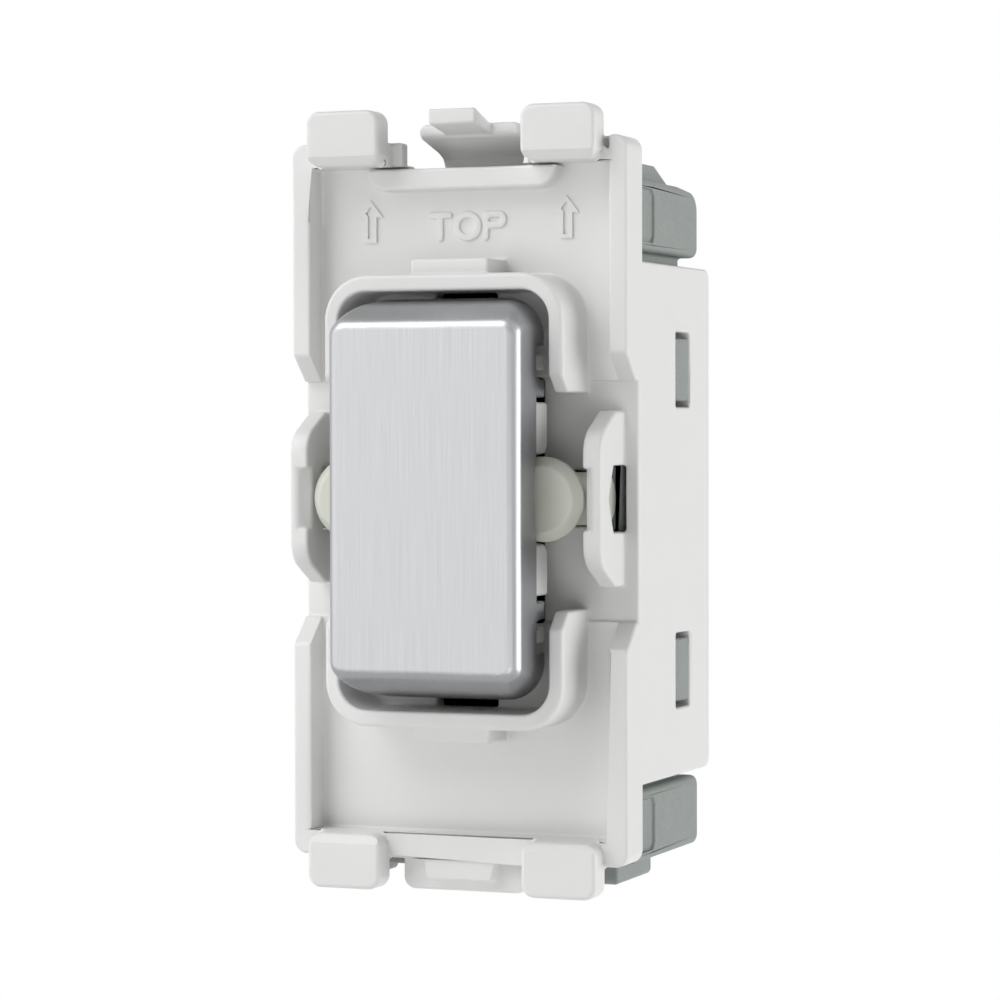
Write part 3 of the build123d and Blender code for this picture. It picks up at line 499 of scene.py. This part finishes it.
class GRIDSWITCH_OT_stage(bpy.types.Operator):
    """Lay the floor, hang the soft lamps and place the camera."""

    bl_idname = "gridswitch.stage"
    bl_label = "Stage"

    def execute(self, context):
        self.floor(context)
        self.world(context)
        self.lamps(context)
        self.camera(context)
        return {"FINISHED"}

    def white_seen(self, tree, other, colour):
        """Plain white where the camera or a mirror sees it, and the other shader elsewhere."""
        ray = node(tree, "ShaderNodeLightPath")
        mirrored = node(tree, "ShaderNodeMath", {"operation": "MAXIMUM"},
                        {0: ray.outputs["Is Glossy Ray"], 1: ray.outputs["Is Transmission Ray"]})
        seen = node(tree, "ShaderNodeMath", {"operation": "MAXIMUM"},
                    {0: ray.outputs["Is Camera Ray"], 1: mirrored.outputs[0]})
        glow = node(tree, "ShaderNodeEmission",
                    {"Color": (*colour, 1), "Strength": WHITE_STRENGTH})
        return node(tree, "ShaderNodeMixShader", links={
            0: seen.outputs[0], 1: other.outputs[0], 2: glow.outputs[0]})

    def floor(self, context):
        """A plain floor far below the switch, which throws light back up."""
        backdrop = context.scene.switch_colours.backdrop
        drop = context.scene.switch_sizes.floor_drop
        bpy.ops.mesh.primitive_plane_add(size=FLOOR_SIZE, location=(0, 0, -drop))
        plane = bpy.context.active_object
        plane.name = "floor"
        bpy.ops.object.transform_apply(location=True, rotation=True, scale=True)
        # Matt paper: it scatters light evenly and has no gloss.
        material, tree = new_material("white paper floor")
        paper = node(tree, "ShaderNodeBsdfDiffuse", {"Color": (*backdrop, 1)})
        finish_material(tree, self.white_seen(tree, paper, backdrop))
        plane.data.materials.append(material)

    def world(self, context):
        """A dim white tent that the camera and mirrors see as plain white."""
        world = bpy.data.worlds.new("white tent")
        context.scene.world = world
        world.use_nodes = True
        tree = world.node_tree
        tree.nodes.clear()
        white = (1, 1, 1, 1)
        tent = node(tree, "ShaderNodeBackground", {"Color": white, "Strength": TENT_STRENGTH})
        ray = node(tree, "ShaderNodeLightPath")
        backdrop = node(tree, "ShaderNodeBackground",
                        {"Color": white, "Strength": WHITE_STRENGTH})
        seen = node(tree, "ShaderNodeMath", {"operation": "MAXIMUM"},
                    {0: ray.outputs["Is Camera Ray"], 1: ray.outputs["Is Glossy Ray"]})
        mixed = node(tree, "ShaderNodeMixShader", links={
            0: seen.outputs[0], 1: tent.outputs[0], 2: backdrop.outputs[0]})
        node(tree, "ShaderNodeOutputWorld", links={"Surface": mixed.outputs[0]})

    def lamps(self, context):
        """A very large soft box on the left, smaller ones above, below and on the right."""
        for name, place, size, power in LAMPS:
            light = bpy.data.lights.new(name, "AREA")
            light.shape = "SQUARE"
            light.size = size
            light.energy = power
            lamp = bpy.data.objects.new(name, light)
            context.scene.collection.objects.link(lamp)
            lamp.location = place
            lamp.rotation_euler = Vector(place).to_track_quat("Z", "Y").to_euler()

    def camera(self, context):
        """The photograph's view: slightly above, from the front right."""
        lens = bpy.data.cameras.new("camera")
        lens.sensor_width = CAMERA_SENSOR
        lens.lens = CAMERA_LENS
        lens.clip_start = CAMERA_NEAR
        camera = bpy.data.objects.new("camera", lens)
        context.scene.collection.objects.link(camera)
        camera.location = CAMERA_PLACE
        camera.rotation_euler = [math.radians(angle) for angle in CAMERA_TURN]
        context.scene.camera = camera


class GRIDSWITCH_PT_panel(bpy.types.Panel):
    """Lists the steps that dress the switch."""

    bl_idname = "GRIDSWITCH_PT_panel"
    bl_label = "Grid switch"
    bl_space_type = "VIEW_3D"
    bl_region_type = "UI"
    bl_category = "Grid switch"

    def draw(self, context):
        for operator in OPERATORS:
            self.layout.operator(operator.bl_idname)
        for group in (context.scene.switch_sizes, context.scene.switch_colours):
            for name in group.bl_rna.properties.keys():
                if name not in {"rna_type", "name"}:
                    self.layout.prop(group, name)


OPERATORS = (GRIDSWITCH_OT_mouldings, GRIDSWITCH_OT_rocker_cap, GRIDSWITCH_OT_metalwork,
             GRIDSWITCH_OT_stage)
CLASSES = (SwitchSizes, SwitchColours, *OPERATORS, GRIDSWITCH_PT_panel)


def register():
    """Adds the classes and the scene's settings."""
    for cls in CLASSES:
        bpy.utils.register_class(cls)
    bpy.types.Scene.switch_sizes = bpy.props.PointerProperty(type=SwitchSizes)
    bpy.types.Scene.switch_colours = bpy.props.PointerProperty(type=SwitchColours)


def unregister():
    """Takes away what register adds."""
    del bpy.types.Scene.switch_colours
    del bpy.types.Scene.switch_sizes
    for cls in reversed(CLASSES):
        bpy.utils.unregister_class(cls)


def main():
    """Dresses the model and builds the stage."""
    register()
    bpy.context.scene.view_settings.view_transform = "Standard"
    for step in (bpy.ops.gridswitch.mouldings, bpy.ops.gridswitch.rocker_cap,
                 bpy.ops.gridswitch.metalwork, bpy.ops.gridswitch.stage):
        step()


if __name__ == "__main__":
    main()
